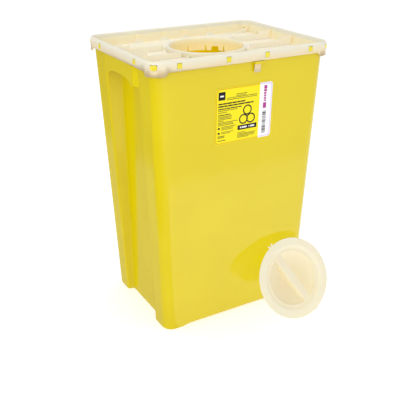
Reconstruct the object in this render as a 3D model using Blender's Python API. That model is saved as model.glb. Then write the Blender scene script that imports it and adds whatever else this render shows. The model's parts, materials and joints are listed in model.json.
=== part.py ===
"""Large sharps container: a tapered plastic bin, a press-fit lid with a round port, and the port cap.

Metres, +Z up. The origin is the centre of the bin's base on the floor, the labelled front faces -Y,
and the two short sides with the hand grips face -X and +X.
"""

import math

import bmesh
import bpy
from mathutils import Matrix, Vector

# Driving dimensions
GAP = 0.0003  # clearance between neighbouring solids
BASE_X, BASE_Y = 0.1956, 0.1446  # half width and half depth of the bin at the floor
DRAFT = 0.034  # how far each wall leans out per unit of height
CORNER = 0.026  # corner radius of the bin in plan
WALL = 0.0026
FLOOR_TOP = 0.007
FOOT = 0.0025  # the edges of the base are raised by this much between the corner feet
FOOT_X, FOOT_Y = 0.155, 0.086  # the feet start beyond these
PAD_X, PAD_Y = 0.150, 0.115  # half sizes of the flat pad in the middle of the base

CHANNEL_MOUTH, CHANNEL_FLOOR = 0.086, 0.078  # half widths of the side channel, outside and inside
CHANNEL_X = 0.178  # the channel's back wall, which is upright
GRIP_MOUTH, GRIP_FLOOR = 0.108, 0.092  # the channel widens into a hand pocket at the top
GRIP_BOTTOM, GRIP_ROOF = 0.588, 0.620

BODY_TOP = 0.637  # the tapered body ends here, level with the lid's skirt
RIM_BOTTOM, RIM_TOP = 0.640, 0.652
RIM_X, RIM_Y = 0.2220, 0.1709

LID_X, LID_Y = 0.2256, 0.1745  # outer face of the lid's skirt
LID_CORNER = 0.030
LID_TOP = 0.660
SKIRT_WALL = 0.0027
CORNER_DROP, CORNER_SLOPE = 0.012, 0.010  # the skirt hangs lower round each corner
PAN_TOP, PAN_WALL = 0.632, 0.0025
PAN_INSET = 0.0185

PORT_RADIUS = 0.087
PORT_STEPS = 72
RING_RADIUS, RING_TOP = 0.0927, 0.644
COLLAR_BOTTOM = 0.614
HOLE_RADIUS = 0.0935  # hole in the lid's pan that the collar fills
SLOTS, SLOT_START, SLOT_WIDTH = 12, 1.0, 0.0045
WINDOWS, WINDOW_START, WINDOW_WIDTH = 4, 46.0, 0.020

HOOK_WIDTH, HOOK_HEIGHT, HOOK_Z = 0.0105, 0.0110, 0.648
CORNER_HOOK_WIDTH = 0.0140
WINDOW_CLEARANCE = 0.0012
HOOK_PROUD = 0.0008  # the hooks stand this far out of the skirt
LONG_HOOKS = (-0.163, -0.047, 0.050, 0.166)
SHORT_HOOKS = (-0.093, 0.093)

HANDLE_X = 0.2222  # outer face of the grip flange
HANDLE_HALF, HANDLE_WALL = 0.073, 0.003
HANDLE_BOTTOM, HANDLE_ARCH = 0.5895, 0.604
ARCH_SHARE = 0.86  # the arch's share of the flange's length
WEB_SPREAD, WEB_ROOT_X = 0.022, 0.1950  # the webs slant out from the flange's ends to the pocket's wall

LATCH_X, LATCH_WIDTH = 0.030, 0.025
LATCH_BAR_Z = (0.6305, 0.6360)
TONGUE_WIDTH, TONGUE_BOTTOM = 0.0185, 0.6095

CAP_RADIUS, CAP_FLANGE = 0.101, 0.003
CAP_PLUG_RADIUS, CAP_PLUG_DEPTH = 0.084, 0.030
CAP_RING_RADIUS, CAP_RING_DEPTH = 0.067, 0.006
CAP_BOWL_DEPTH = 0.030
CAP_LEAN = math.radians(27.0)
CAP_CENTRE = (0.1280, -0.2156)  # where the middle of its flange stands, seen from above
BAR_WIDTH, BAR_ANGLE = 0.0220, math.radians(26.5)
TAB_REACH = 0.1055

LABEL_X = (-0.0730, 0.0400)
STRIP_X = (0.0403, 0.0735)
LABEL_Z = (0.4590, 0.5860)
LABEL_THICK = 0.0004

YELLOW = (0.78, 0.52, 0.012)
IVORY = (0.86, 0.77, 0.55)
PAPER_YELLOW = (0.90, 0.82, 0.02)
PAPER_WHITE = (0.86, 0.85, 0.88)


def plastic(name, colour, roughness):
    """Moulded polypropylene, or coated label paper."""
    found = bpy.data.materials.new(name)
    found.use_nodes = True
    shader = found.node_tree.nodes["Principled BSDF"]
    shader.inputs["Base Color"].default_value = (*colour, 1)
    shader.inputs["Roughness"].default_value = roughness
    shader.inputs["Metallic"].default_value = 0
    return found


def add_object(name, bm, material, smooth=False):
    """Makes a named object of a bmesh, with its faces turned outwards."""
    bmesh.ops.recalc_face_normals(bm, faces=bm.faces)
    mesh = bpy.data.meshes.new(name)
    bm.to_mesh(mesh)
    bm.free()
    if material:
        mesh.materials.append(material)
    if smooth:
        mesh.shade_smooth()
        mesh.set_sharp_from_angle(angle=math.radians(35))
    found = bpy.data.objects.new(name, mesh)
    bpy.context.scene.collection.objects.link(found)
    return found


def arc(centre_x, centre_y, radius, start, steps):
    """Points along a quarter circle."""
    turns = [start + math.pi / 2 * i / steps for i in range(steps + 1)]
    return [(centre_x + radius * math.cos(a), centre_y + radius * math.sin(a)) for a in turns]


def body_ring(z, half_x, half_y, radius, mouth, floor, floor_x, steps=6):
    """The bin's outline at one height: a rounded rectangle with a channel let into each short side."""
    inner_x, inner_y = half_x - radius, half_y - radius
    plan = [(half_x, -mouth), (floor_x, -floor), (floor_x, floor), (half_x, mouth)]
    plan += arc(inner_x, inner_y, radius, 0, steps)
    plan += arc(-inner_x, inner_y, radius, math.pi / 2, steps)
    plan += [(-half_x, mouth), (-floor_x, floor), (-floor_x, -floor), (-half_x, -mouth)]
    plan += arc(-inner_x, -inner_y, radius, math.pi, steps)
    plan += arc(inner_x, -inner_y, radius, math.pi * 3 / 2, steps)
    return [(x, y, z) for x, y in plan]


def loft(rings, ends):
    """Skins rings of equal length. The ends are capped, or joined to each other when ends is False."""
    bm = bmesh.new()
    rows = [[bm.verts.new(point) for point in ring] for ring in rings]
    pairs = list(zip(rows, rows[1:]))
    if ends:
        bm.faces.new(list(reversed(rows[0])))
        bm.faces.new(rows[-1])
    else:
        pairs.append((rows[-1], rows[0]))
    for low, high in pairs:
        for i, point in enumerate(low):
            after = (i + 1) % len(low)
            bm.faces.new((point, low[after], high[after], high[i]))
    return bm


def add_box(bm, low, high, place=Matrix()):
    """Adds a closed box between two corners, moved by a matrix."""
    spans = list(zip(low, high))
    corners = [Vector((x, y, z)) for x in spans[0] for y in spans[1] for z in spans[2]]
    v = [bm.verts.new(place @ corner) for corner in corners]
    for face in ((0, 1, 3, 2), (4, 6, 7, 5), (0, 4, 5, 1), (2, 3, 7, 6), (0, 2, 6, 4), (1, 5, 7, 3)):
        bm.faces.new([v[i] for i in face])


def add_prism(bm, outline, along, low, high, place=Matrix()):
    """Extrudes an outline of (across, up) points along one axis, "x" or "y"."""
    rows = []
    for end in (low, high):
        points = [(end, a, b) if along == "x" else (a, end, b) for a, b in outline]
        rows.append([bm.verts.new(place @ Vector(point)) for point in points])
    bm.faces.new(rows[0])
    bm.faces.new(list(reversed(rows[1])))
    for i in range(len(outline)):
        after = (i + 1) % len(outline)
        bm.faces.new((rows[0][i], rows[1][i], rows[1][after], rows[0][after]))


def add_slab(bm, outline, points_of, levels):
    """Skins an outline between two levels. points_of turns an outline point and a level into a place."""
    rows = [[bm.verts.new(points_of(point, level)) for point in outline] for level in levels]
    bm.faces.new(rows[0])
    bm.faces.new(rows[1])
    for i in range(len(outline)):
        after = (i + 1) % len(outline)
        bm.faces.new((rows[0][i], rows[0][after], rows[1][after], rows[1][i]))


def add_turned(bm, outline, steps, place=Matrix()):
    """Spins a closed (radius, height) outline round Z. A point at radius 0 becomes a pole."""
    rows = []
    for radius, z in outline:
        if radius == 0:
            rows.append([bm.verts.new(place @ Vector((0, 0, z)))] * steps)
            continue
        turns = [2 * math.pi * i / steps for i in range(steps)]
        ring = [Vector((radius * math.cos(a), radius * math.sin(a), z)) for a in turns]
        rows.append([bm.verts.new(place @ point) for point in ring])
    pairs = list(zip(rows, rows[1:]))
    if outline[0][0] or outline[-1][0]:
        pairs.append((rows[-1], rows[0]))
    for low, high in pairs:
        for i in range(steps):
            after = (i + 1) % steps
            corners = [low[i], low[after], high[after], high[i]]
            once = [v for k, v in enumerate(corners) if v not in corners[:k]]
            if len(once) > 2:
                bm.faces.new(once)


def boolean(target, bm, operation):
    """Cuts or joins a bmesh into an object. The tool stays as a hidden guide."""
    tool = add_object(f"{target.name}_{operation.lower()}_tool", bm, None)
    tool.hide_render = True
    tool.display_type = "WIRE"
    modifier = target.modifiers.new(operation.lower(), "BOOLEAN")
    modifier.operation = operation
    modifier.object = tool


def half_sizes(z):
    """Half width and half depth of the bin's outer face at one height."""
    return BASE_X + DRAFT * z, BASE_Y + DRAFT * z


def on_front(x, z, out):
    """A point on the leaning front face, moved outwards along its normal."""
    normal = Vector((0, -1, -DRAFT)).normalized()
    return Vector((x, -half_sizes(z)[1], z)) + normal * out


def add_bin(yellow):
    """The one-piece bin: taper, side channels, hand pockets and the rim that the lid snaps over."""
    base_z = GRIP_BOTTOM + 0.003
    roof_z = GRIP_ROOF + 0.004
    outer = []
    for z, mouth, floor, deep in (
        (0.006, CHANNEL_MOUTH, CHANNEL_FLOOR, True),
        (GRIP_BOTTOM, CHANNEL_MOUTH, CHANNEL_FLOOR, True),
        (base_z, GRIP_MOUTH, GRIP_FLOOR, True),
        (GRIP_ROOF, GRIP_MOUTH, GRIP_FLOOR, True),
        (roof_z, GRIP_MOUTH, GRIP_FLOOR, False),
        (RIM_BOTTOM, GRIP_MOUTH, GRIP_FLOOR, False),
    ):
        x, y = half_sizes(z)
        outer.append(body_ring(z, x, y, CORNER, mouth, floor, CHANNEL_X if deep else x))
    bottom_x, bottom_y = BASE_X - 0.004, BASE_Y - 0.004
    bottom = body_ring(0, bottom_x, bottom_y, CORNER - 0.003, CHANNEL_MOUTH, CHANNEL_FLOOR, CHANNEL_X - 0.002)
    rim = [
        body_ring(z, RIM_X - inset, RIM_Y - inset, CORNER - inset, GRIP_MOUTH, GRIP_FLOOR, RIM_X - inset)
        for z, inset in ((RIM_BOTTOM, 0), (RIM_TOP, 0), (RIM_TOP, 0.0024), (RIM_BOTTOM + 0.003, 0.0026))
    ]
    inner = []
    for z, mouth, floor, deep in (
        (RIM_BOTTOM, GRIP_MOUTH, GRIP_FLOOR, False),
        (roof_z + WALL, GRIP_MOUTH, GRIP_FLOOR, False),
        (GRIP_ROOF + WALL, GRIP_MOUTH, GRIP_FLOOR, True),
        (base_z + WALL, GRIP_MOUTH, GRIP_FLOOR, True),
        (GRIP_BOTTOM + WALL, CHANNEL_MOUTH, CHANNEL_FLOOR, True),
        (FLOOR_TOP, CHANNEL_MOUTH, CHANNEL_FLOOR, True),
    ):
        x, y = (half - WALL for half in half_sizes(z))
        wide = (mouth + WALL, floor + WALL)
        inner.append(body_ring(z, x, y, CORNER - WALL, *wide, CHANNEL_X - WALL if deep else x))
    shell = add_object("bin_shell", loft([bottom, *outer, *rim, *inner], ends=True), yellow, smooth=True)
    gaps = bmesh.new()
    beyond = 0.3
    for near, far in ((-beyond, -PAD_Y), (PAD_Y, beyond)):
        add_box(gaps, (-FOOT_X, near, -0.01), (FOOT_X, far, FOOT))
    for near, far in ((-beyond, -PAD_X), (PAD_X, beyond)):
        add_box(gaps, (near, -FOOT_Y, -0.01), (far, FOOT_Y, FOOT))
    boolean(shell, gaps, "DIFFERENCE")


def add_handle(name, side, yellow):
    """A grip flange under the rim, arched along its lower edge, with a slanting web at each end."""
    top = RIM_BOTTOM - GAP
    steps = 12
    lower = []
    for i in range(steps + 1):
        y = HANDLE_HALF * (2 * i / steps - 1)
        rise = max(0.0, 1 - (y / (HANDLE_HALF * ARCH_SHARE)) ** 2) ** 0.5
        lower.append((y, HANDLE_BOTTOM + (HANDLE_ARCH - HANDLE_BOTTOM) * rise))
    bm = bmesh.new()
    inner_x = HANDLE_X - HANDLE_WALL
    outline = lower + [(HANDLE_HALF, top), (-HANDLE_HALF, top)]
    add_prism(bm, outline, "x", inner_x * side, HANDLE_X * side)
    flange = add_object(name, bm, yellow)
    webs = bmesh.new()
    web_bottom, web_top = HANDLE_BOTTOM + 0.0025, GRIP_ROOF - 2 * GAP
    for end in (-1, 1):
        near, far = HANDLE_HALF * end, (HANDLE_HALF + WEB_SPREAD) * end
        corners = [(HANDLE_X - 0.0012, near), (WEB_ROOT_X, far)]
        corners += [(WEB_ROOT_X, far - HANDLE_WALL * end), (inner_x - 0.0015, near - 0.0035 * end)]
        add_slab(webs, corners, lambda point, z: (point[0] * side, point[1], z), (web_bottom, web_top))
    boolean(flange, webs, "UNION")


def add_hook(name, place, width, yellow):
    """One snap hook: a block with a sloped top, on the rim, that fills a window of the lid's skirt."""
    reach = LID_X - RIM_X + HOOK_PROUD
    low, high = HOOK_Z - HOOK_HEIGHT / 2, HOOK_Z + HOOK_HEIGHT / 2
    outline = [(GAP, low), (reach, low), (reach, high - 0.004), (0.0016, high), (GAP, high)]
    bm = bmesh.new()
    add_prism(bm, outline, "y", -width / 2, width / 2, place)
    add_object(name, bm, yellow)


def hook_places():
    """Name, matrix with +X pointing out of the rim, and width of each of the snap hooks."""
    found = []
    for label, y, turn in (("front", -RIM_Y, -90), ("back", RIM_Y, 90)):
        for number, x in enumerate(LONG_HOOKS, 1):
            found.append((f"snap_hook_{label}_{number}", (x, y), turn, HOOK_WIDTH))
    for label, x, turn in (("left", -RIM_X, 180), ("right", RIM_X, 0)):
        for number, y in enumerate(SHORT_HOOKS, 1):
            found.append((f"snap_hook_{label}_{number}", (x, y), turn, HOOK_WIDTH))
    reach = CORNER * math.sqrt(0.5)
    for label, sx, sy, turn in (
        ("front_left", -1, -1, -135),
        ("front_right", 1, -1, -45),
        ("back_left", -1, 1, 135),
        ("back_right", 1, 1, 45),
    ):
        x, y = sx * (RIM_X - CORNER + reach), sy * (RIM_Y - CORNER + reach)
        found.append((f"snap_hook_{label}", (x, y), turn, CORNER_HOOK_WIDTH))
    return [
        (name, Matrix.Translation((*point, 0)) @ Matrix.Rotation(math.radians(turn), 4, "Z"), width)
        for name, point, turn, width in found
    ]


def lid_ring(inset, z, drop=0.0):
    """The lid's outline at one height, with its bottom edge lowered round the corners by drop."""
    radius = max(LID_CORNER - inset, 0.008)
    half_x, half_y = LID_X - inset, LID_Y - inset
    flat_x, flat_y = half_x - radius, half_y - radius
    slope_x, slope_y = LID_X - LID_CORNER - CORNER_SLOPE, LID_Y - LID_CORNER - CORNER_SLOPE
    points = [(half_x, y, z) for y in (-slope_y, -0.05, 0, 0.05, slope_y)]
    corner = [(x, y, z - drop) for x, y in arc(flat_x, flat_y, radius, 0, 8)]
    points += corner
    points += [(x, half_y, z) for x in (slope_x, 0.12, 0.06, 0, -0.06, -0.12, -slope_x)]
    points += [(-x, y, low) for x, y, low in reversed(corner)]
    points += [(-half_x, y, z) for y in (slope_y, 0.05, 0, -0.05, -slope_y)]
    points += [(-x, -y, low) for x, y, low in corner]
    points += [(x, -half_y, z) for x in (-slope_x, -0.12, -0.06, 0, 0.06, 0.12, slope_x)]
    points += [(x, -y, low) for x, y, low in reversed(corner)]
    return points


def round_ring(radius, z):
    """Points of a circle, each on the ray to a point of the lid's outline."""
    found = []
    for x, y, _ in lid_ring(PAN_INSET, z):
        away = math.hypot(x, y)
        found.append((x / away * radius, y / away * radius, z))
    return found


def add_lid(ivory, hooks):
    """The press-fit lid: skirt with hook windows, rolled lip, plug wall, and a ribbed pan round the port."""
    under = PAN_TOP - PAN_WALL
    seat = RIM_TOP + 0.0012
    outside = [
        lid_ring(0, BODY_TOP, CORNER_DROP),
        lid_ring(0, 0.6545),
        lid_ring(0.0012, 0.6580),
        lid_ring(0.0042, LID_TOP),
        lid_ring(0.0066, LID_TOP),
        lid_ring(0.0086, 0.6586),
        lid_ring(0.0102, 0.6560),
        lid_ring(0.0166, 0.6345),
        lid_ring(PAN_INSET, PAN_TOP),
        round_ring(PORT_RADIUS - 0.007, PAN_TOP),
    ]
    inside = [
        round_ring(PORT_RADIUS - 0.007, under),
        lid_ring(PAN_INSET - 0.0010, under),
        lid_ring(0.0142, 0.6335),
        lid_ring(0.0135, 0.6400),
        lid_ring(0.0072, seat),
        lid_ring(SKIRT_WALL, seat),
        lid_ring(SKIRT_WALL, BODY_TOP, CORNER_DROP),
    ]
    lid = add_object("lid_panel", loft(outside + inside, ends=False), ivory, smooth=True)
    boolean(lid, lid_ribs(), "UNION")
    windows = bmesh.new()
    for _, place, width in hooks:
        across = width / 2 + WINDOW_CLEARANCE
        up = HOOK_HEIGHT / 2 + WINDOW_CLEARANCE
        inner, outer = 0.0002, LID_X - RIM_X + 0.003
        add_box(windows, (inner, -across, HOOK_Z - up), (outer, across, HOOK_Z + up), place)
    boolean(lid, windows, "DIFFERENCE")
    hole = bmesh.new()
    bmesh.ops.create_cone(
        hole, cap_ends=True, segments=PORT_STEPS, radius1=HOLE_RADIUS + GAP, radius2=HOLE_RADIUS + GAP,
        depth=0.05, matrix=Matrix.Translation((0, 0, PAN_TOP)),
    )
    boolean(lid, hole, "DIFFERENCE")


def lid_ribs():
    """Ribs that stiffen the pan. Each is a thin plate with one end or both in a wall of the lid."""
    bm = bmesh.new()
    thick = 0.0012
    root = PAN_TOP - 0.001
    wall_low, wall_high = 0.0158, 0.0100
    for side in (-1, 1):
        for y in (-0.045, 0.045):
            stepped = [(0.100, root), (LID_X - wall_low, root), (LID_X - wall_high, 0.652)]
            stepped += [(0.174, 0.652), (0.173, 0.645), (0.100, 0.645)]
            add_prism(bm, [(x * side, z) for x, z in stepped], "y", y - thick, y + thick)
        for y in (-0.148, 0.148):
            curved = [(0.140, root), (LID_X - wall_low, root), (LID_X - wall_high, 0.653)]
            for s in (0.15, 0.3, 0.45, 0.6, 0.8, 1):
                curved.append((LID_X - wall_high - 0.070 * s, 0.653 - 0.0195 * (1 - (1 - s) ** 2)))
            add_prism(bm, [(x * side, z) for x, z in curved], "y", y - thick, y + thick)
        for x in (-0.1, -0.03, 0.03, 0.1):
            wall = [(0.1345, root), (LID_Y - wall_low, root), (LID_Y - wall_high, 0.652)]
            wall += [(LID_Y - 0.0170, 0.652), (0.1345, 0.640)]
            add_prism(bm, [(y * side, z) for y, z in wall], "x", x - thick, x + thick)
    for turn in (36, 144, 216, 324):
        spoke = [(0.099, root), (0.172, root), (0.168, 0.637), (0.099, 0.637)]
        add_prism(bm, spoke, "y", -thick, thick, Matrix.Rotation(math.radians(turn), 4, "Z"))
    return bm


def add_collar(ivory):
    """The port's raised ring and the slotted fingers below it, which grip the cap's plug."""
    outline = [
        (PORT_RADIUS, RING_TOP - 0.0012),
        (PORT_RADIUS + 0.0012, RING_TOP),
        (RING_RADIUS - 0.0012, RING_TOP),
        (RING_RADIUS, RING_TOP - 0.0012),
        (HOLE_RADIUS, PAN_TOP - PAN_WALL),
        (PORT_RADIUS + 0.0012, PAN_TOP - PAN_WALL - 0.0005),
        (PORT_RADIUS + 0.0002, COLLAR_BOTTOM),
        (PORT_RADIUS - 0.0020, COLLAR_BOTTOM),
        (PORT_RADIUS - 0.0014, RING_TOP - 0.0100),
    ]
    bm = bmesh.new()
    add_turned(bm, outline, PORT_STEPS)
    collar = add_object("port_collar", bm, ivory, smooth=True)
    cuts = bmesh.new()
    far = PORT_RADIUS + 0.004
    low = COLLAR_BOTTOM - 0.005
    for i in range(SLOTS):
        place = Matrix.Rotation(math.radians(SLOT_START + 360 / SLOTS * i), 4, "Z")
        add_box(cuts, (0.075, -SLOT_WIDTH / 2, low), (far, SLOT_WIDTH / 2, COLLAR_BOTTOM + 0.0115), place)
    for i in range(WINDOWS):
        place = Matrix.Rotation(math.radians(WINDOW_START + 360 / WINDOWS * i), 4, "Z")
        add_box(cuts, (0.075, -WINDOW_WIDTH / 2, low), (far, WINDOW_WIDTH / 2, COLLAR_BOTTOM + 0.0095), place)
    boolean(collar, cuts, "DIFFERENCE")


def add_latch(yellow, ivory):
    """The seal latch in front: a strap loop on the bin, and the lid's tongue that hangs through it."""
    wall_y = -half_sizes(LATCH_BAR_Z[0])[1] - GAP
    half = LATCH_WIDTH / 2
    bar_y = (-LID_Y - 0.0021, -LID_Y + 0.0007)
    leg = 0.0025
    outline = [(-half, wall_y), (-half, bar_y[0]), (half, bar_y[0]), (half, wall_y)]
    outline += [(half - leg, wall_y), (half - leg, bar_y[1]), (-half + leg, bar_y[1]), (-half + leg, wall_y)]
    bm = bmesh.new()
    add_slab(bm, outline, lambda point, z: (LATCH_X + point[0], point[1], z), LATCH_BAR_Z)
    add_object("latch_loop", bm, yellow)
    tongue = bmesh.new()
    front, back = -LID_Y + 0.0012, -LID_Y + 0.0034
    low_tip, root = TONGUE_BOTTOM, BODY_TOP - GAP
    profile = [(front, root), (front, low_tip + 0.001), (front + 0.001, low_tip), (back, low_tip), (back, root)]
    half = TONGUE_WIDTH / 2
    add_prism(tongue, profile, "x", LATCH_X - half, LATCH_X + half)
    add_object("latch_tongue", tongue, ivory)


def cap_place():
    """Where the cap's flange face is: leaning back against the bin, its lower edge on the floor."""
    height = CAP_RADIUS * math.cos(CAP_LEAN) + CAP_FLANGE * math.sin(CAP_LEAN)
    turn = Matrix.Rotation(math.pi / 2 - CAP_LEAN, 4, "X")
    return Matrix.Translation((*CAP_CENTRE, height)) @ turn


def add_cap(ivory):
    """The port cap: a wide flange, a plug wall behind it and a bowl crossed by the grip bar."""
    ring, deep = CAP_RING_RADIUS, CAP_RING_DEPTH
    bowl = CAP_BOWL_DEPTH
    outline = [
        (0, -bowl),
        (0.030, -bowl + 0.0008),
        (0.048, -bowl + 0.0050),
        (0.060, -bowl + 0.0140),
        (ring - 0.001, -deep - 0.0015),
        (ring, -deep),
        (ring + 0.007, -deep),
        (CAP_PLUG_RADIUS - 0.002, 0),
        (CAP_RADIUS - 0.001, 0),
        (CAP_RADIUS, -0.001),
        (CAP_RADIUS, -CAP_FLANGE),
        (CAP_PLUG_RADIUS, -CAP_FLANGE - 0.0003),
        (CAP_PLUG_RADIUS - 0.0006, -CAP_PLUG_DEPTH),
        (CAP_PLUG_RADIUS - 0.0030, -CAP_PLUG_DEPTH),
        (CAP_PLUG_RADIUS - 0.0026, -CAP_FLANGE - 0.0020),
        (ring + 0.0085, -deep - 0.0025),
        (ring + 0.0015, -deep - 0.0028),
        (0.0625, -bowl + 0.0130),
        (0.0500, -bowl + 0.0030),
        (0.0310, -bowl - 0.0016),
        (0, -bowl - 0.0025),
    ]
    bm = bmesh.new()
    place = cap_place()
    add_turned(bm, outline, 80, place)
    cap = add_object("port_cap", bm, ivory, smooth=True)
    tabs = bmesh.new()
    turned = place @ Matrix.Rotation(BAR_ANGLE, 4, "Z")
    add_box(tabs, (-0.0070, 0.0990, -CAP_FLANGE + 0.0004), (-0.0015, TAB_REACH, -0.0004), turned)
    add_box(tabs, (0.0015, 0.0990, -CAP_FLANGE + 0.0004), (0.0070, TAB_REACH, -0.0004), turned)
    add_box(tabs, (-0.0060, -0.1030, -CAP_FLANGE + 0.0004), (0.0060, -0.0990, -0.0004), turned)
    boolean(cap, tabs, "UNION")
    bar = bmesh.new()
    half = BAR_WIDTH / 2
    low = -bowl + 0.0095
    shoulder = -deep - 0.0060
    outline = [(-0.0475, low), (0.0475, low), (0.0595, shoulder)]
    outline += [(0.0630, -deep), (-0.0630, -deep), (-0.0595, shoulder)]
    add_prism(bar, outline, "x", -half, half, turned)
    add_object("cap_grip_bar", bar, ivory)


def add_label(name, across, material):
    """A sheet stuck to the leaning front face."""
    bm = bmesh.new()
    (left, right), (low, high) = across, LABEL_Z
    corners = [(left, low), (right, low), (right, high), (left, high)]
    add_slab(bm, corners, lambda point, out: on_front(*point, out), (GAP, GAP + LABEL_THICK))
    add_object(name, bm, material)


for old in list(bpy.data.objects):
    bpy.data.objects.remove(old)
yellow = plastic("yellow_polypropylene", YELLOW, 0.28)
ivory = plastic("natural_polypropylene", IVORY, 0.38)
hooks = hook_places()
add_bin(yellow)
add_handle("left_grip_flange", -1, yellow)
add_handle("right_grip_flange", 1, yellow)
for name, place, width in hooks:
    add_hook(name, place, width, yellow)
add_latch(yellow, ivory)
add_lid(ivory, hooks)
add_collar(ivory)
add_cap(ivory)
add_label("label_sheet", LABEL_X, plastic("printed_label", PAPER_YELLOW, 0.35))
add_label("tracking_strip", STRIP_X, plastic("white_label", PAPER_WHITE, 0.35))
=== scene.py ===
import json
import math
import random

import bmesh
import bpy
from mathutils import Matrix, Vector


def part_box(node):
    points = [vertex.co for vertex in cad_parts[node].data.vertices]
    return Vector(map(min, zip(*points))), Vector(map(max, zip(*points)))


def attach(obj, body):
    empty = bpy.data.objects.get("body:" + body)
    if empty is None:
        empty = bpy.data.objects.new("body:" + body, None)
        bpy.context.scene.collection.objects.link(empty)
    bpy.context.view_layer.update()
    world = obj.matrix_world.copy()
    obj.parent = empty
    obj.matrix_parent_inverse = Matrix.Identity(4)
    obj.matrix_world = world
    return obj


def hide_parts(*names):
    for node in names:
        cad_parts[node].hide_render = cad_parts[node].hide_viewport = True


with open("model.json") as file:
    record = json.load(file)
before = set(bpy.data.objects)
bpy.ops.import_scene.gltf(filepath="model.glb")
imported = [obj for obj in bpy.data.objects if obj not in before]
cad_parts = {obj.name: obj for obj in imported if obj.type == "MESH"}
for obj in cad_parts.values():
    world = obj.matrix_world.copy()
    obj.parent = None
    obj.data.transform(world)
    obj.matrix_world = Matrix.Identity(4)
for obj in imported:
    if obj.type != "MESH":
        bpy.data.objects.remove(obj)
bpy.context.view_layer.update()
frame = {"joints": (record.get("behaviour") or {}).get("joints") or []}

# Camera, floor and studio light.
# A white sweep that glows faintly of its own, in an even white room. One wide soft box hangs overhead
# and a smaller one stands beyond the front left corner, tilted down at the bin.
view = bpy.data.cameras.new("view")
view.lens = 57.34
view.sensor_width = 36
camera = bpy.data.objects.new("view", view)
camera.location = (-0.7779, -1.3382, 0.9492)
camera.rotation_euler = (math.radians(65), 0, math.radians(-30.3))
bpy.context.scene.collection.objects.link(camera)
bpy.context.scene.camera = camera
bpy.context.scene.view_settings.view_transform = "Standard"


def linear(code):
    """An sRGB hex colour as linear RGBA."""
    parts = [int(code[i:i + 2], 16) / 255 for i in (0, 2, 4)]
    return (*[c / 12.92 if c <= 0.04045 else ((c + 0.055) / 1.055) ** 2.4 for c in parts], 1)


def node(tree, kind, inputs=(), **settings):
    """Adds one node. An input is a value, or the output socket that feeds it."""
    made = tree.nodes.new("ShaderNode" + kind)
    for name, value in settings.items():
        setattr(made, name, value)
    for name, value in dict(inputs).items():
        if isinstance(value, bpy.types.NodeSocket):
            tree.links.new(value, made.inputs[name])
        else:
            made.inputs[name].default_value = value
    return made


def new_material(name, **shader_inputs):
    """An empty material with one Principled shader, whose constants go on its own sockets."""
    made = bpy.data.materials.new(name)
    made.use_nodes = True
    shader = made.node_tree.nodes["Principled BSDF"]
    for socket, value in shader_inputs.items():
        shader.inputs[socket.replace("_", " ")].default_value = value
    return made, made.node_tree, shader


FLOOR_SIZE = 60
bpy.ops.object.select_all(action="DESELECT")
bpy.ops.mesh.primitive_plane_add(size=FLOOR_SIZE)
floor = bpy.context.object
floor.name = "floor"
floor_paint, _, _ = new_material(
    "backlit_white_sweep", Base_Color=linear("FAFAFA"), Roughness=0.9,
    Emission_Color=(1, 1, 1, 1), Emission_Strength=0.35,
)
floor.data.materials.append(floor_paint)

room = bpy.data.worlds.new("white_room")
room.use_nodes = True
room.node_tree.nodes["Background"].inputs["Color"].default_value = linear("FFFFFF")
room.node_tree.nodes["Background"].inputs["Strength"].default_value = 0.68
bpy.context.scene.world = room

for name, place, turn, size, power in (
    ("overhead_softbox", (0, 0, 3.2), (0, 0, 0), 3.4, 27),
    ("left_softbox", (-2.2, -2.4, 1.6), (math.radians(68), 0, math.radians(-42)), 2.4, 26),
):
    lamp = bpy.data.lights.new(name, "AREA")
    lamp.shape = "SQUARE"
    lamp.size = size
    lamp.energy = power
    softbox = bpy.data.objects.new(name, lamp)
    softbox.location = place
    softbox.rotation_euler = turn
    bpy.context.scene.collection.objects.link(softbox)

# A faint lamp inside the bin stands in for the light that its walls let through.
lamp = bpy.data.lights.new("light_through_walls", "POINT")
lamp.shadow_soft_size = 0.10
lamp.energy = 1.2
glow = bpy.data.objects.new("light_through_walls", lamp)
glow.location = (0, 0, 0.42)
bpy.context.scene.collection.objects.link(glow)

# Grey cards flat on the sweep: beyond the lit part of the floor the studio is darker. Only glossy rays
# meet them, so that they shade the shine on the plastic and nothing else.
for name, place, size, grey in (
    ("left_gloss_card", (-2.30, 1.0, 0.001), (1.7, 4), 0.10),
    ("left_near_gloss_card", (-0.39, 1.0, 0.001), (0.23, 2.0), 0.36),
    ("front_gloss_card", (1.0, -3.0, 0.001), (4, 2.15), 0.75),
):
    bpy.ops.object.select_all(action="DESELECT")
    bpy.ops.mesh.primitive_plane_add(size=2, location=place)
    card = bpy.context.object
    card.name = name
    card.scale = (*size, 1)
    card_paint, _, _ = new_material(
        name, Base_Color=(0, 0, 0, 1), Emission_Color=(grey, grey, grey, 1), Emission_Strength=1.0,
    )
    card.data.materials.append(card_paint)
    card.visible_camera = False
    card.visible_diffuse = False
    card.visible_transmission = False
    card.visible_shadow = False


# Waste bin.
# One deep injection moulding in yellow polypropylene: tapered walls with rounded corners, a channel up
# each short side that opens into a hand pocket, corner feet, and a stiff rim that the lid snaps over.
DRAFT = 0.034
BASE_X, BASE_Y = 0.1956, 0.1446
CORNER = 0.026
WALL = 0.0026
RIM_FOOT = 0.640
EDGE_ROUND = 0.004
CHANNEL_MOUTH, CHANNEL_FLOOR, CHANNEL_X = 0.086, 0.078, 0.180
CHANNEL_TOP = 0.622
CHANNEL_FLARE = 1.2
FOOT_HEIGHT = 0.004
FOOT_X, FOOT_SLOPE = 0.150, 0.018


def primitive(kind, name, **settings):
    """Adds one primitive, with its place taken into its mesh."""
    bpy.ops.object.select_all(action="DESELECT")
    getattr(bpy.ops.mesh, f"primitive_{kind}_add")(**settings)
    made = bpy.context.object
    made.name = name
    bpy.ops.object.transform_apply(location=True, rotation=True, scale=True)
    return made


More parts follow.
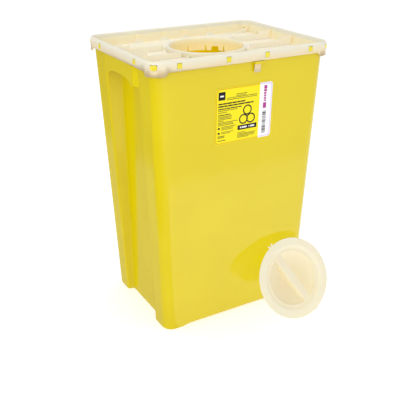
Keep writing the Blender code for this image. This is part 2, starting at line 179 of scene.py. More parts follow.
def block(name, low, high):
    """A cube stretched between two corners."""
    middle = [(a + b) / 2 for a, b in zip(low, high)]
    size = [b - a for a, b in zip(low, high)]
    return primitive("cube", name, size=1, location=middle, scale=size)


def edit(piece):
    """Opens one piece alone in edit mode."""
    bpy.ops.object.select_all(action="DESELECT")
    piece.select_set(True)
    bpy.context.view_layer.objects.active = piece
    bpy.ops.object.mode_set(mode="EDIT")


def choose(kind, test):
    """In edit mode, selects the verts, edges or faces whose middle, and own data, pass a test."""
    bpy.ops.mesh.select_mode(type=kind)
    bpy.ops.mesh.select_all(action="DESELECT")
    mesh = bmesh.from_edit_mesh(bpy.context.object.data)
    mesh.normal_update()
    for item in {"VERT": mesh.verts, "EDGE": mesh.edges, "FACE": mesh.faces}[kind]:
        corners = [item] if kind == "VERT" else item.verts
        middle = sum((corner.co for corner in corners), Vector()) / len(corners)
        item.select_set(bool(test(middle, item)))
    mesh.select_flush_mode()
    bmesh.update_edit_mesh(bpy.context.object.data)


def done():
    """Closes edit mode."""
    bpy.ops.object.mode_set(mode="OBJECT")


def modify(piece, kind, **settings):
    """Adds a modifier and applies it."""
    bpy.ops.object.select_all(action="DESELECT")
    piece.select_set(True)
    bpy.context.view_layer.objects.active = piece
    made = piece.modifiers.new(kind.lower(), kind)
    for name, value in settings.items():
        setattr(made, name, value)
    bpy.ops.object.modifier_apply(modifier=made.name)


def cut(piece, tool, operation="DIFFERENCE"):
    """Cuts a closed tool out of a piece, and removes the tool."""
    modify(piece, "BOOLEAN", object=tool, operation=operation)
    bpy.data.objects.remove(tool)


def join(*pieces):
    """Joins pieces into the first one."""
    bpy.ops.object.select_all(action="DESELECT")
    for piece in pieces:
        piece.select_set(True)
    bpy.context.view_layer.objects.active = pieces[0]
    bpy.ops.object.join()
    return pieces[0]


def smooth(piece, angle=40, weigh=True):
    """Smooth shading with sharp edges kept. Weighed by area, it also keeps the flat faces flat."""
    bpy.ops.object.select_all(action="DESELECT")
    piece.select_set(True)
    bpy.context.view_layer.objects.active = piece
    bpy.ops.object.shade_smooth_by_angle(angle=math.radians(angle))
    if weigh:
        modify(piece, "WEIGHTED_NORMAL", keep_sharp=True)


def put(piece, place):
    """Moves a finished piece, keeping its place in its mesh."""
    piece.data.transform(place)
    return piece


def paint(piece, material):
    """Gives a whole piece one material."""
    piece.data.materials.clear()
    piece.data.materials.append(material)


def is_upright(edge, least=0.1):
    """Whether an edge climbs by more than the least height."""
    return abs(edge.verts[0].co.z - edge.verts[1].co.z) > least


_, shell_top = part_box("bin_shell")
RIM_X, RIM_Y, RIM_TOP = shell_top
BLANK_TOP = RIM_TOP + 0.010

waste_bin = block("waste_bin", (-BASE_X, -BASE_Y, 0), (BASE_X, BASE_Y, BLANK_TOP))
edit(waste_bin)
choose("FACE", lambda middle, face: face.normal.z > 0.9)
spread = [1 + DRAFT * BLANK_TOP / half for half in (BASE_X, BASE_Y)]
bpy.ops.transform.resize(value=(*spread, 1), center_override=(0, 0, BLANK_TOP))
choose("EDGE", lambda middle, edge: is_upright(edge))
bpy.ops.mesh.bevel(offset=CORNER, offset_type="OFFSET", segments=12, profile=0.5, affect="EDGES")
done()
for side in (-1, 1):
    low, high, far_x = -0.05, CHANNEL_TOP, RIM_X + 0.02
    tool = block("channel_tool", (CHANNEL_X, -CHANNEL_MOUTH, low), (far_x, CHANNEL_MOUTH, high))
    edit(tool)
    choose("FACE", lambda middle, face: face.normal.x < -0.9)
    shrink = CHANNEL_FLOOR / CHANNEL_MOUTH
    bpy.ops.transform.resize(value=(1, shrink, 1), center_override=(CHANNEL_X, 0, (low + high) / 2))
    choose("FACE", lambda middle, face: face.normal.x > 0.9)
    widen = 1 + (1 - shrink) * CHANNEL_FLARE
    bpy.ops.transform.resize(value=(1, widen, 1), center_override=(far_x, 0, (low + high) / 2))
    done()
    cut(waste_bin, put(tool, Matrix.Rotation(0 if side > 0 else math.pi, 4, "Z")))
modify(waste_bin, "BEVEL", width=EDGE_ROUND, segments=4, limit_method="ANGLE", angle_limit=math.radians(32))
edit(waste_bin)
for x in (-FOOT_X, FOOT_SLOPE - FOOT_X, FOOT_X - FOOT_SLOPE, FOOT_X):
    bpy.ops.mesh.select_all(action="SELECT")
    bpy.ops.mesh.bisect(plane_co=(x, 0, 0), plane_no=(1, 0, 0))
choose("VERT", lambda middle, vert: middle.z < 0.006 and abs(middle.x) < FOOT_X - FOOT_SLOPE + 0.0001)
bpy.ops.transform.translate(value=(0, 0, FOOT_HEIGHT))
bpy.ops.mesh.select_all(action="SELECT")
bpy.ops.mesh.bisect(plane_co=(0, 0, RIM_FOOT), plane_no=(0, 0, 1), clear_outer=True)
choose("EDGE", lambda middle, edge: edge.is_boundary)
bpy.ops.mesh.extrude_region_move()
top_x, top_y = BASE_X + DRAFT * RIM_FOOT, BASE_Y + DRAFT * RIM_FOOT
bpy.ops.transform.resize(value=(RIM_X / top_x, RIM_Y / top_y, 1), center_override=(0, 0, RIM_FOOT))
bpy.ops.mesh.extrude_region_move(TRANSFORM_OT_translate={"value": (0, 0, RIM_TOP - RIM_FOOT)})
done()
modify(waste_bin, "SOLIDIFY", thickness=WALL, offset=-1, use_even_offset=True)
smooth(waste_bin)

# Yellow polypropylene as moulded: a polished tool leaves a smooth gloss with a very slight waviness,
# and the pigment is dense enough that little light passes.
yellow, tree, shader = new_material("yellow_polypropylene", Roughness=0.12, IOR=1.60)
place = node(tree, "TexCoord").outputs["Object"]
cloud = node(tree, "TexNoise", {"Vector": place, "Scale": 7.0, "Detail": 2.0})
tone = node(tree, "ValToRGB", {"Fac": cloud.outputs["Fac"]})
for stop, position, code in zip(tone.color_ramp.elements, (0.3, 0.7), ("DCC600", "E0CB00")):
    stop.position = position
    stop.color = linear(code)
tree.links.new(tone.outputs["Color"], shader.inputs["Base Color"])
wave = node(tree, "TexNoise", {"Vector": place, "Scale": 28.0, "Detail": 1.0})
relief = node(tree, "Bump", {"Height": wave.outputs["Fac"], "Strength": 0.06, "Distance": 0.002})
tree.links.new(relief.outputs["Normal"], shader.inputs["Normal"])
paint(waste_bin, yellow)
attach(waste_bin, "bin")
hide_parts("bin_shell")

# Snap hooks.
# Small blocks moulded on the rim, with a sloped top that lets the lid's skirt ride over them and a
# square underside that holds it. A groove down the middle keeps the moulded wall even.
HOOK_Z, HOOK_HEIGHT, HOOK_WIDTH, CORNER_HOOK_WIDTH = 0.648, 0.0110, 0.0105, 0.0140
_, lid_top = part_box("lid_panel")
LID_X, LID_Y, LID_HIGH = lid_top
HOOK_REACH = LID_X - RIM_X + 0.0008
GROOVE, GROOVE_HALF = 0.0005, 0.0007
reach = CORNER * math.sqrt(0.5)
hook_places = [(f"{end}_{n}", x, side * RIM_Y, 90 * side, HOOK_WIDTH)
               for end, side in (("front", -1), ("back", 1))
               for n, x in enumerate((-0.163, -0.047, 0.050, 0.166), 1)]
hook_places += [(f"{end}_{n}", side * RIM_X, y, 90 - 90 * side, HOOK_WIDTH)
                for end, side in (("left", -1), ("right", 1))
                for n, y in enumerate((-0.093, 0.093), 1)]
hook_places += [(f"{end}_{wing}", sx * (RIM_X - CORNER + reach), sy * (RIM_Y - CORNER + reach),
                 math.degrees(math.atan2(sy, sx)), CORNER_HOOK_WIDTH)
                for end, sy in (("front", -1), ("back", 1)) for wing, sx in (("left", -1), ("right", 1))]

# The hooks, thicker than the walls and standing free, get a paler copy of the yellow: a painted highlight for
# the light they catch.
hook_yellow_painted_lit = yellow.copy()
hook_yellow_painted_lit.name = "yellow_polypropylene_hook_painted_lit"
for stop, code in zip(hook_yellow_painted_lit.node_tree.nodes["Color Ramp"].color_ramp.elements, ("EBDA30", "EFDE38")):
    stop.color = linear(code)
for name, x, y, turn, width in hook_places:
    half, low, high = width / 2, HOOK_Z - HOOK_HEIGHT / 2, HOOK_Z + HOOK_HEIGHT / 2
    hook = block(f"hook_{name}", (-0.001, -half, low), (HOOK_REACH, half, high))
    edit(hook)
    choose("EDGE", lambda middle, edge: middle.x > 0.001 and middle.z > high - 0.001)
    bpy.ops.mesh.bevel(offset=0.0028, segments=3, affect="EDGES")
    if width == CORNER_HOOK_WIDTH:
        choose("EDGE", lambda middle, edge: middle.z < low + 0.001 and abs(middle.y) > half - 0.001)
        bpy.ops.mesh.bevel(offset=0.0045, segments=5, affect="EDGES")
    done()
    groove_low = (HOOK_REACH - GROOVE, -GROOVE_HALF, low - 0.001)
    cut(hook, block("groove", groove_low, (0.02, GROOVE_HALF, high - 0.0032)))
    modify(hook, "BEVEL", width=0.0003, segments=2, limit_method="ANGLE", angle_limit=math.radians(40))
    put(hook, Matrix.Translation((x, y, 0)) @ Matrix.Rotation(math.radians(turn), 4, "Z"))
    smooth(hook)
    paint(hook, hook_yellow_painted_lit)
    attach(hook, "bin")
    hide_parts(f"snap_hook_{name}")


# Grip flanges.
# A plate hanging from the rim over each hand pocket, arched along its lower edge for the fingers and
# braced by a slanting web at each end. Plate and webs are part of the bin's moulding.
flange_low, flange_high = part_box("left_grip_flange")
FLANGE_WALL, FLANGE_HALF = 0.003, 0.073
ARCH_RISE, ARCH_HALF = 0.0150, 0.063
WEB_ROOT_X, WEB_SPREAD = 0.2080, 0.0260
outer_x, flange_bottom = -flange_low.x, flange_low.z


def mirror(piece, x, y):
    """Mirrors a piece in its mesh, or leaves it, and keeps its faces turned outwards."""
    put(piece, Matrix.Diagonal((x, y, 1, 1)))
    if x * y < 0:
        piece.data.flip_normals()


for side, word in ((-1, "left"), (1, "right")):
    plate_low = (outer_x - FLANGE_WALL, -FLANGE_HALF, flange_bottom)
    plate = block(f"{word}_grip", plate_low, (outer_x, FLANGE_HALF, RIM_FOOT))
    arch = primitive("cylinder", "arch_tool", vertices=64, radius=1, depth=0.03,
                     location=(outer_x, 0, flange_bottom), rotation=(0, math.radians(90), 0),
                     scale=(ARCH_RISE, ARCH_HALF, 1))
    cut(plate, arch)
    for end in (-1, 1):
        web_low = (WEB_ROOT_X, FLANGE_HALF - FLANGE_WALL, flange_bottom + 0.002)
        web = block("web", web_low, (outer_x - 0.0006, FLANGE_HALF, RIM_FOOT))
        edit(web)
        choose("VERT", lambda middle, vert: middle.x < WEB_ROOT_X + 0.001)
        bpy.ops.transform.translate(value=(0, WEB_SPREAD, 0))
        done()
        mirror(web, 1, end)
        modify(plate, "BOOLEAN", object=web, operation="UNION")
        bpy.data.objects.remove(web)
    modify(plate, "BEVEL", width=0.0006, segments=2, limit_method="ANGLE", angle_limit=math.radians(40))
    mirror(plate, side, 1)
    smooth(plate)
    paint(plate, yellow)
    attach(plate, "bin")
    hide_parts(f"{word}_grip_flange")


# Latch loop.
# A small strap in the bin's own yellow polypropylene, moulded on the front wall just under the lid.
# The lid's tongue is threaded down through it.
loop_low, loop_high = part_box("latch_loop")
LOOP_BAR, LOOP_LEG = 0.0028, 0.0025
strap = block("latch_strap", loop_low, (loop_high.x, loop_high.y + 0.001, loop_high.z))
cut(strap, block("strap_tool", (loop_low.x + LOOP_LEG, loop_low.y + LOOP_BAR, loop_low.z - 0.01),
                 (loop_high.x - LOOP_LEG, loop_high.y - 0.0004, loop_high.z + 0.01)))
modify(strap, "BEVEL", width=0.0010, segments=4, limit_method="ANGLE", angle_limit=math.radians(40))
smooth(strap)
paint(strap, yellow)
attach(strap, "bin")
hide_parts("latch_loop")


# Lid.
# A press-fit moulding in natural, unpigmented polypropylene: a skirt with a window for each hook, a
# rolled crest, and a plug wall inside the rim down to a ribbed pan. The yellow rim glows through it.
SKIRT_LOW, SKIRT_HIGH = 0.637, 0.6540
LID_CORNER = 0.030
LID_WALL = 0.0024
CORNER_DROP, DROP_SLOPE = 0.0085, 0.008
CREST_WIDTH, CREST_STEPS = 0.0092, 8
PLUG_LEAN = 0.0066
PAN_TOP = 0.632
PAN_ROUND = 0.003
PORT_HOLE = 0.0900
WINDOW_ROOM = 0.0004
SKIRT_SIDE = 0.012
lid = block("lid", (-LID_X, -LID_Y, SKIRT_LOW), (LID_X, LID_Y, SKIRT_HIGH))
edit(lid)
choose("EDGE", lambda middle, edge: is_upright(edge, 0.01))
bpy.ops.mesh.bevel(offset=LID_CORNER, segments=14, profile=0.5, affect="EDGES")
choose("FACE", lambda middle, face: face.normal.z < -0.9)
bpy.ops.mesh.delete(type="FACE")
choose("FACE", lambda middle, face: face.normal.z > 0.9)
for step in range(CREST_STEPS):
    turns = [math.pi * (step + i) / CREST_STEPS for i in (0, 1)]
    across = CREST_WIDTH / 2 * (math.cos(turns[0]) - math.cos(turns[1]))
    up = (LID_HIGH - SKIRT_HIGH) * (math.sin(turns[1]) - math.sin(turns[0]))
    bpy.ops.mesh.inset(thickness=across, depth=up)
bpy.ops.mesh.inset(thickness=PLUG_LEAN, depth=PAN_TOP + PAN_ROUND - SKIRT_HIGH)
bpy.ops.mesh.inset(thickness=PAN_ROUND * 0.35, depth=-PAN_ROUND * 0.65)
bpy.ops.mesh.inset(thickness=PAN_ROUND * 0.65, depth=-PAN_ROUND * 0.35)
for axis, half in ((0, LID_X), (1, LID_Y)):
    for side in (-1, 1):
        point, normal = Vector(), Vector()
        point[axis], normal[axis] = (half - LID_CORNER - DROP_SLOPE) * side, 1
        bpy.ops.mesh.select_all(action="SELECT")
        bpy.ops.mesh.bisect(plane_co=point, plane_no=normal)
edge_x, edge_y = LID_X - LID_CORNER - 0.0005, LID_Y - LID_CORNER - 0.0005
choose("VERT", lambda middle, vert: (
    middle.z < SKIRT_LOW + 0.001 and abs(middle.x) > edge_x and abs(middle.y) > edge_y
))
bpy.ops.transform.translate(value=(0, 0, -CORNER_DROP))
done()
modify(lid, "SOLIDIFY", thickness=LID_WALL, offset=-1)
hole = primitive("cylinder", "hole_tool", vertices=128, radius=PORT_HOLE, depth=0.05,
                 location=(0, 0, PAN_TOP))
cut(lid, hole)
smooth(lid, weigh=False)
plain_lid = lid.copy()
plain_lid.data = lid.data.copy()
bpy.context.scene.collection.objects.link(plain_lid)
for name, x, y, turn, width in hook_places:
    half, up = width / 2 + WINDOW_ROOM, HOOK_HEIGHT / 2 + WINDOW_ROOM
    window = block("window", (0.0010, -half, HOOK_Z - up), (0.02, half, HOOK_Z + up))
    if width == CORNER_HOOK_WIDTH:
        edit(window)
        choose("EDGE", lambda middle, edge: middle.z < HOOK_Z - up + 0.001 and abs(middle.y) > half - 0.001)
        bpy.ops.mesh.bevel(offset=0.005, segments=5, affect="EDGES")
        done()
    put(window, Matrix.Translation((x, y, 0)) @ Matrix.Rotation(math.radians(turn), 4, "Z"))
    cut(lid, window)

# The windows break the skirt into long thin faces. It keeps the even shading of the uncut lid.
skirt_side = lid.vertex_groups.new(name="skirt_side")
for vert in lid.data.vertices:
    if abs(vert.co.x) > LID_X - SKIRT_SIDE or abs(vert.co.y) > LID_Y - SKIRT_SIDE:
        skirt_side.add([vert.index], 1, "REPLACE")
modify(lid, "DATA_TRANSFER", object=plain_lid, use_loop_data=True, data_types_loops={"CUSTOM_NORMAL"},
       loop_mapping="POLYINTERP_NEAREST", vertex_group="skirt_side")
lid.vertex_groups.clear()
bpy.data.objects.remove(plain_lid)

# Natural polypropylene as moulded: milky and satin, so light goes into it and comes out warmer. The glow of
# the yellow rim through the wall is painted into the colour as a warm tint: the painted glow goes by how far
# in a point lies from the lid's rounded outline. Down the skirt, painted shade darkens the colour towards the
# lower edge, by its height.
natural, tree, shader = new_material(
    "natural_polypropylene", Roughness=0.36, IOR=1.49, Subsurface_Weight=0.35, Subsurface_Scale=0.006,
    Subsurface_Radius=(1.0, 0.75, 0.35),
)
place = node(tree, "TexCoord").outputs["Object"]
parts = node(tree, "SeparateXYZ", {0: place})
folded = node(tree, "VectorMath", {0: place}, operation="ABSOLUTE").outputs[0]
corner = (LID_X - LID_CORNER, LID_Y - LID_CORNER, 0)
past = node(tree, "VectorMath", {0: folded, 1: corner}, operation="SUBTRACT").outputs[0]
past = node(tree, "VectorMath", {0: past, 1: (1, 1, 0)}, operation="MULTIPLY").outputs[0]
outside = node(tree, "VectorMath", {0: past, 1: (0, 0, 0)}, operation="MAXIMUM").outputs[0]
round_part = node(tree, "VectorMath", {0: outside}, operation="LENGTH").outputs["Value"]
sides = node(tree, "SeparateXYZ", {0: past})
nearest = node(tree, "Math", {0: sides.outputs["X"], 1: sides.outputs["Y"]}, operation="MAXIMUM").outputs[0]
flat_part = node(tree, "Math", {0: nearest, 1: 0.0}, operation="MINIMUM").outputs[0]
reached = node(tree, "Math", {0: round_part, 1: flat_part}, operation="ADD").outputs[0]
depth_in = node(tree, "Math", {0: LID_CORNER, 1: reached}, operation="SUBTRACT").outputs[0]
spread = node(tree, "Math", {0: depth_in, 1: 40.0}, operation="MULTIPLY").outputs[0]
# Painted glow: the warm stops stand for the yellow rim's light showing through the wall.
rim_glow_tint = node(tree, "ValToRGB", {"Fac": spread})
stops = rim_glow_tint.color_ramp.elements
for stop, position, code in zip(stops, (0.37, 0.80), ("EDE6D2", "F8F0DC")):
    stop.position = position
    stop.color = linear(code)
for position, code in ((0.43, "FFF0C8"), (0.66, "FFEBC0")):
    stops.new(position).color = linear(code)
# Painted shade: the skirt turns darker and warmer towards its lower edge.
skirt_shade_heights = {"From Min": LID_HIGH - 0.003, "From Max": SKIRT_LOW - 0.004}
skirt_shade_ramp = node(tree, "MapRange", {"Value": parts.outputs["Z"], **skirt_shade_heights})
on_skirt = node(tree, "Math", {0: depth_in, 1: 0.0040}, operation="LESS_THAN")
share = node(tree, "Math", {0: skirt_shade_ramp.outputs[0], 1: on_skirt.outputs[0]}, operation="MULTIPLY")
skirt_shade_mix = {"Fac": share.outputs[0], "Color1": rim_glow_tint.outputs["Color"], "Color2": linear("E8D0A2")}
painted_light_mix = node(tree, "MixRGB", skirt_shade_mix)
tree.links.new(painted_light_mix.outputs["Color"], shader.inputs["Base Color"])
grain = node(tree, "TexNoise", {"Vector": place, "Scale": 900.0, "Detail": 2.0})
relief = node(tree, "Bump", {"Height": grain.outputs["Fac"], "Strength": 0.08, "Distance": 0.0004})
tree.links.new(relief.outputs["Normal"], shader.inputs["Normal"])
paint(lid, natural)
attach(lid, "lid")
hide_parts("lid_panel")


# Lid ribs.
# Thin plates moulded with the lid to stiffen its pan: stepped ones to the short walls, curved gussets
# by the corners, low spokes to the port, and fluted buttresses along the two long walls.
RIB_HALF = 0.0012
RIB_FOOT = PAN_TOP - 0.001
PLUG_FACE, FAR_X = 0.0146, 0.2
RIB_START, RIB_Y, RIB_TOP = 0.0905, 0.045, 0.645
STEP_X, STEP_TOP, STEP_LEAN = 0.1735, 0.652, (0.0030, 0.0022)
GUSSET_START, GUSSET_Y, GUSSET_TOP, GUSSET_LEAN = 0.1455, 0.148, 0.653, 0.0056
BUTTRESS_RISE, BUTTRESS_HALF, BUTTRESS_LEAN = 0.0205, 0.005, 0.0062
SPOKE_START, SPOKE_END, SPOKE_TOP = 0.0915, 0.170, 0.6365
ribs = []
for side in (-1, 1):
    half_turn = Matrix.Rotation(0 if side > 0 else math.pi, 4, "Z")
    for y in (-RIB_Y, RIB_Y):
        rib = block("rib", (RIB_START, y - RIB_HALF, RIB_FOOT), (LID_X - PLUG_FACE, y + RIB_HALF, RIB_TOP))
        edit(rib)
        bpy.ops.mesh.bisect(plane_co=(STEP_X, 0, 0), plane_no=(1, 0, 0))
        choose("VERT", lambda middle, vert: middle.x > FAR_X and middle.z > RIB_TOP - 0.001)
        bpy.ops.transform.translate(value=(STEP_LEAN[0], 0, 0))
        choose("FACE", lambda middle, face: face.normal.z > 0.9 and middle.x > STEP_X)
        bpy.ops.mesh.extrude_region_move(TRANSFORM_OT_translate={"value": (0, 0, STEP_TOP - RIB_TOP)})
        choose("VERT", lambda middle, vert: middle.x > FAR_X and middle.z > STEP_TOP - 0.001)
        bpy.ops.transform.translate(value=(STEP_LEAN[1], 0, 0))
        done()
        ribs.append(put(rib, half_turn))
    for y in (-GUSSET_Y, GUSSET_Y):
        gusset_high = (LID_X - PLUG_FACE, y + RIB_HALF, GUSSET_TOP)
        gusset = block("gusset", (GUSSET_START, y - RIB_HALF, RIB_FOOT), gusset_high)
        edit(gusset)
        choose("VERT", lambda middle, vert: middle.x > FAR_X and middle.z > GUSSET_TOP - 0.001)
        bpy.ops.transform.translate(value=(GUSSET_LEAN, 0, 0))
        done()
        curve = primitive("cylinder", "curve_tool", vertices=96, radius=1, depth=0.02,
                          location=(GUSSET_START - 0.0001, y, GUSSET_TOP), rotation=(math.radians(90), 0, 0),
                          scale=(0.070, 0.0195, 1))
        cut(gusset, curve)
        ribs.append(put(gusset, half_turn))
    for x in (-0.1, -0.03, 0.03, 0.1):
        levels = [RIB_FOOT + BUTTRESS_RISE * share for share in (0, 0.12, 0.26, 0.45, 0.7, 1)]
        buttress_low = (x - BUTTRESS_HALF, LID_Y - 0.0205, levels[0])
        buttress = block("buttress", buttress_low, (x + BUTTRESS_HALF, LID_Y - PLUG_FACE, levels[-1]))
        edit(buttress)
        for level in levels[1:-1]:
            bpy.ops.mesh.select_all(action="SELECT")
            bpy.ops.mesh.bisect(plane_co=(0, 0, level), plane_no=(0, 0, 1))
        for level in levels:
            rise = (level - levels[0]) / (levels[-1] - levels[0])
            choose("VERT", lambda middle, vert: abs(middle.z - level) < 1e-4)
            flare = 1 + 1.9 * (1 - rise) ** 2.4
            bpy.ops.transform.resize(value=(flare, 1, 1), center_override=(x, 0, level))
            bpy.ops.transform.translate(value=(0, BUTTRESS_LEAN * rise, 0))
        done()
        ribs.append(put(buttress, half_turn))
for turn in (36, 144, 216, 324):
    spoke = block("spoke", (SPOKE_START, -RIB_HALF, RIB_FOOT), (SPOKE_END, RIB_HALF, SPOKE_TOP))
    ribs.append(put(spoke, Matrix.Rotation(math.radians(turn), 4, "Z")))
lid_ribs = join(*ribs)
lid_ribs.name = "lid_ribs"
modify(lid_ribs, "BEVEL", width=0.0005, segments=2, limit_method="ANGLE", angle_limit=math.radians(40))
smooth(lid_ribs)
paint(lid_ribs, natural)
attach(lid_ribs, "lid")


# Port collar.
# The raised ring round the port and the slotted wall below it, moulded with the lid. Narrow slots and
# four wide ones part the wall into fingers that spring outwards when the cap's plug is pushed in.
PORT, RING, RING_TOP, COLLAR_LOW = 0.0870, 0.0927, 0.644, 0.614
RING_EDGE = ((0.0004, 0.0008), (0.0008, 0.0004))
COLLAR_WALL = 0.0022
collar = primitive("circle", "port_ring", vertices=144, radius=RING, fill_type="NGON",
                   location=(0, 0, PAN_TOP + 0.0005))
edit(collar)
bpy.ops.mesh.select_all(action="SELECT")
bpy.ops.mesh.extrude_region_move(TRANSFORM_OT_translate={"value": (0, 0, RING_TOP - 0.0017 - PAN_TOP)})
down_again = [(across, -up) for across, up in reversed(RING_EDGE)]
for across, up in (*RING_EDGE, (RING - PORT - 0.0024, 0), *down_again):
    bpy.ops.mesh.inset(thickness=across, depth=up)
bpy.ops.mesh.extrude_region_move(TRANSFORM_OT_translate={"value": (0, 0, -0.008)})
bpy.ops.mesh.inset(thickness=0.0012, depth=COLLAR_LOW - RING_TOP + 0.0092)
bpy.ops.mesh.delete(type="FACE")
choose("FACE", lambda middle, face: abs(face.normal.z) > 0.9 and middle.z < PAN_TOP + 0.001)
bpy.ops.mesh.delete(type="FACE")
done()
modify(collar, "SOLIDIFY", thickness=COLLAR_WALL, offset=-1, use_even_offset=True)
for count, start, width, top, narrow in ((12, 1, 0.0052, 0.0125, 0.4), (4, 46, 0.020, 0.0100, 0.8)):
    for i in range(count):
        slot_low = (0.075, -width / 2, COLLAR_LOW - 0.005)
        slot = block("slot_tool", slot_low, (0.100, width / 2, COLLAR_LOW + top))
        edit(slot)
        choose("FACE", lambda middle, face: face.normal.z > 0.9)
        bpy.ops.transform.resize(value=(1, narrow, 1), center_override=(0.0875, 0, COLLAR_LOW + top))
        done()
        cut(collar, put(slot, Matrix.Rotation(math.radians(start + 360 / count * i), 4, "Z")))
smooth(collar)

# The same plastic, without the painted glow of the rim: pale on top, and painted warmer down in the port, a
# painted glow of the yellow light inside the bin.
ring_natural = natural.copy()
ring_natural.name = "natural_polypropylene_port"
tree = ring_natural.node_tree
shader = tree.nodes["Principled BSDF"]
tree.links.remove(shader.inputs["Base Color"].links[0])
rise = node(tree, "SeparateXYZ", {0: node(tree, "TexCoord").outputs["Object"]}).outputs["Z"]
# Painted glow: the colour grows warmer the deeper a point lies in the port.
depth = node(tree, "MapRange", {"Value": rise, "From Min": RING_TOP - 0.001, "From Max": PAN_TOP})
port_glow_mix = {"Fac": depth.outputs[0], "Color1": linear("F8F2DE"), "Color2": linear("F0E0B4")}
painted_light_mix = node(tree, "MixRGB", port_glow_mix)
tree.links.new(painted_light_mix.outputs["Color"], shader.inputs["Base Color"])
paint(collar, ring_natural)
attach(collar, "lid")
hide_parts("port_collar")


# Latch tongue.
# A strip moulded with the lid that hangs from its skirt and is threaded down through the bin's strap.
# Ridges at its end give the thumb a hold.
tongue_low, tongue_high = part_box("latch_tongue")
TONGUE_LEFT, TONGUE_RIGHT, TONGUE_LOW = 0.0200, 0.0352, 0.6120
TONGUE_LEAN = 0.0022
RIDGES, RIDGE_PITCH = 3, 0.0022
tongue_foot = (TONGUE_LEFT, tongue_low.y, TONGUE_LOW)
tongue = block("tongue", tongue_foot, (TONGUE_RIGHT, tongue_high.y, SKIRT_LOW + 0.002))
ridges = []
for i in range(RIDGES):
    z = TONGUE_LOW + 0.0010 + RIDGE_PITCH * i
    ridge_low = (TONGUE_LEFT, tongue_low.y - 0.0005, z)
    ridges.append(block("ridge", ridge_low, (TONGUE_RIGHT, tongue_low.y + 0.0006, z + 0.0011)))
tongue = join(tongue, *ridges)
edit(tongue)
choose("VERT", lambda middle, vert: middle.z < loop_low.z)
bpy.ops.transform.translate(value=(0, TONGUE_LEAN, 0))
done()
modify(tongue, "BEVEL", width=0.0004, segments=2, limit_method="ANGLE", angle_limit=math.radians(40))
smooth(tongue)
paint(tongue, natural)
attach(tongue, "lid")
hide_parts("latch_tongue")


# Port cap.
# A round moulding in the same natural polypropylene: a flange, a plug wall behind it, and a bowl
# crossed by a bar to grip. It is loose, and leans back on the bin with the edge of its flange on the floor.
cap_low, cap_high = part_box("port_cap")
CAP_RADIUS = (cap_high.x - cap_low.x) / 2
CAP_FLANGE, CAP_WALL = 0.003, 0.0024
PLUG_RADIUS, PLUG_DEPTH = 0.084, 0.030
RING_OUT, RING_IN, RING_DEPTH, BOWL_DEPTH = 0.074, 0.067, 0.006, 0.030
RING_LIP = 0.0006
BOWL_STEPS = 14
BAR_TURN = math.radians(26.5)
PRONG_LEAN, PRONG_X = 0.0030, 0.0026
cap_axis = Vector(next(joint["axis"] for joint in frame["joints"] if joint["name"] == "cap_pull"))
lean = math.asin(cap_axis.z)
cap_middle = Vector((
    (cap_low.x + cap_high.x) / 2,
    cap_low.y + CAP_RADIUS * math.sin(lean),
    CAP_RADIUS * math.cos(lean) + CAP_FLANGE * math.sin(lean),
))
cap_place = Matrix.Translation(cap_middle) @ Matrix.Rotation(math.pi / 2 - lean, 4, "X")
radius, height = CAP_RADIUS, -0.0012
cap = primitive("circle", "cap", vertices=144, radius=radius, fill_type="NGON", location=(0, 0, height))
edit(cap)
bpy.ops.mesh.select_all(action="SELECT")
profile = [(CAP_RADIUS - 0.0003, -0.0004), (CAP_RADIUS - 0.0012, 0)]
profile += [(PLUG_RADIUS, 0), (PLUG_RADIUS - 0.0012, -0.0005)]
profile += [(RING_OUT + 0.0010, -RING_DEPTH + 0.0004), (RING_OUT - 0.0004, -RING_DEPTH)]
profile += [(RING_IN + 0.0010, -RING_DEPTH), (RING_IN, -RING_DEPTH - RING_LIP)]
for i in range(1, BOWL_STEPS):
    turn = math.pi / 2 * i / BOWL_STEPS
    sunk = (BOWL_DEPTH - RING_DEPTH - RING_LIP) * math.sin(turn) ** 1.4
    profile.append((RING_IN * math.cos(turn), -RING_DEPTH - RING_LIP - sunk))
for out, up in profile:
    bpy.ops.mesh.inset(thickness=radius - out, depth=up - height)
    radius, height = out, up
done()
modify(cap, "SOLIDIFY", thickness=CAP_WALL, offset=-1, use_even_offset=True)
plug = primitive("cylinder", "plug", vertices=144, radius=PLUG_RADIUS, depth=PLUG_DEPTH - 0.001,
                 end_fill_type="NOTHING", location=(0, 0, -(PLUG_DEPTH + 0.001) / 2))
modify(plug, "SOLIDIFY", thickness=CAP_WALL, offset=-1, use_even_offset=True)

# Two short prongs on a boss mark one end of the grip bar on the flange, and a low heel the other end.
along_bar = Matrix.Rotation(BAR_TURN, 4, "Z")
prongs = []
for side in (-1, 1):
    prong = block("prong", (-0.0019, 0.0985, -0.0024), (0.0019, 0.1065, 0.0006))
    edit(prong)
    choose("FACE", lambda middle, face: face.normal.y > 0.9)
    bpy.ops.transform.translate(value=(PRONG_LEAN * side, 0, 0))
    done()
    prongs.append(put(prong, along_bar @ Matrix.Translation((PRONG_X * side, 0, 0))))
prongs.append(put(block("boss", (-0.0055, 0.0880, -0.0020), (0.0055, 0.1010, 0.0006)), along_bar))
prongs.append(put(block("heel", (-0.0060, -0.1030, -0.0024), (0.0060, -0.0985, -0.0002)), along_bar))
cap = join(cap, plug, *prongs)
put(cap, cap_place)
smooth(cap, 30)

# The same plastic again, with painted shade: the colour deepens with depth behind the flange, in the bowl and
# down the bar's sides, in place of the shade that the cap does not cast on itself.
cap_natural = natural.copy()
cap_natural.name = "natural_polypropylene_cap"
tree = cap_natural.node_tree
shader = tree.nodes["Principled BSDF"]
tree.links.remove(shader.inputs["Base Color"].links[0])
place = node(tree, "TexCoord").outputs["Object"]
along = node(tree, "VectorMath", {0: place, 1: cap_axis}, operation="DOT_PRODUCT").outputs["Value"]
flush = cap_middle.dot(cap_axis)
